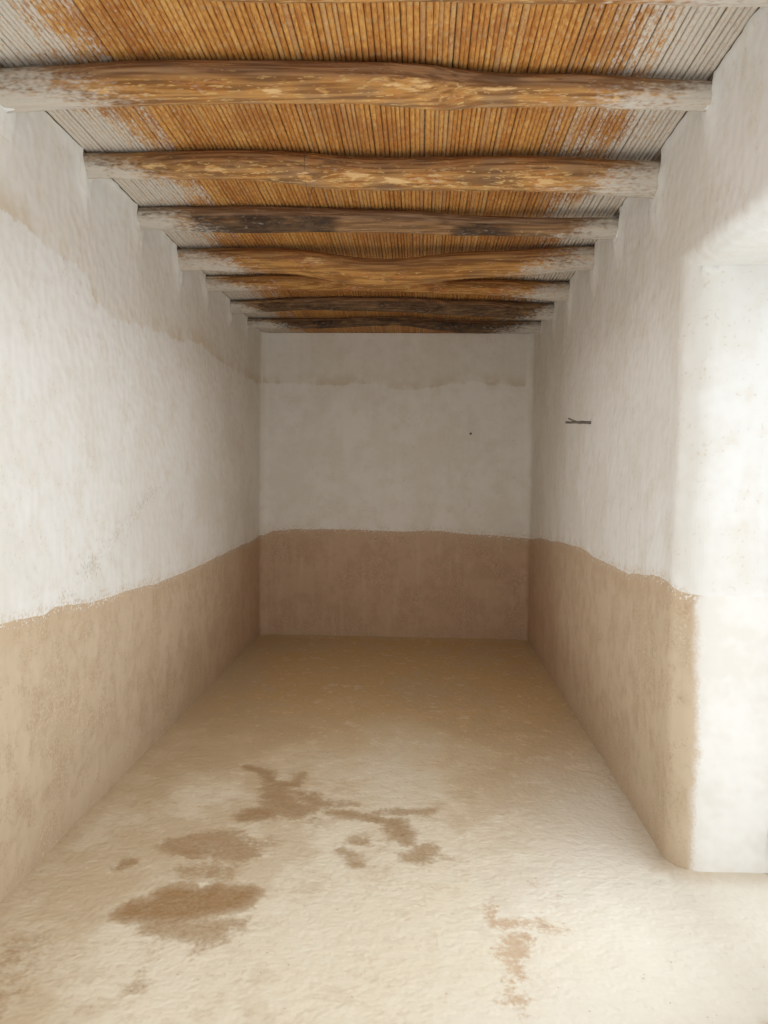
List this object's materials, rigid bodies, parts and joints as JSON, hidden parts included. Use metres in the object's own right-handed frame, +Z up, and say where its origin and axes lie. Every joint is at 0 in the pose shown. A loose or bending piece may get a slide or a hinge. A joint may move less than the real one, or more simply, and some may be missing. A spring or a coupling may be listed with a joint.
{
  "type": "adobe room with log and cane roof",
  "caption": "Roofed end of an earthen house: one plastered room with thick mud-brick walls, a side doorway, a clay floor, logs and a cane ceiling under a flat earth roof.",
  "frame": {"origin": "middle of the footprint on the ground, under the floor", "axes": "+Z up, +Y along the room from the open front to the blind back wall, +X towards the wall with the doorway"},
  "size_m": [3.2, 6.25, 3.1269],
  "materials": {
    "clay_floor": "beaten clay, matt",
    "adobe": "mud render with straw, matt",
    "clay_coat": "smoothed clay, matt",
    "limewash": "limewash over clay, matt",
    "log_wood": "peeled log, weathered",
    "cane": "dry cane, slightly glossy",
    "straw": "packed straw, matt",
    "roof_earth": "packed earth, matt",
    "timber": "hewn timber, weathered"
  },
  "bodies": {
    "root": {"floor": "clay_floor", "left_wall": "adobe", "back_wall": "adobe", "right_wall_rear": "adobe", "right_wall_front": "adobe", "wall_over_door": "adobe", "door_lintels": "timber", "left_dado": "clay_coat", "left_limewash": "limewash", "back_dado": "clay_coat", "back_limewash": "limewash", "right_rear_dado": "clay_coat", "right_rear_limewash": "limewash", "right_front_dado": "clay_coat", "right_front_limewash": "limewash", "door_head_limewash": "limewash", "left_log_course": "limewash", "right_log_course": "limewash", "log_1": "log_wood", "log_2": "log_wood", "log_3": "log_wood", "log_4": "log_wood", "log_5": "log_wood", "log_6": "log_wood", "log_7": "log_wood", "log_8": "log_wood", "log_9": "log_wood", "canes_1": "cane", "canes_2": "cane", "canes_3": "cane", "canes_4": "cane", "canes_5": "cane", "straw_layer": "straw", "earth_roof": "roof_earth", "side_peg": "timber", "back_peg": "timber"}
  },
  "joints": []
}
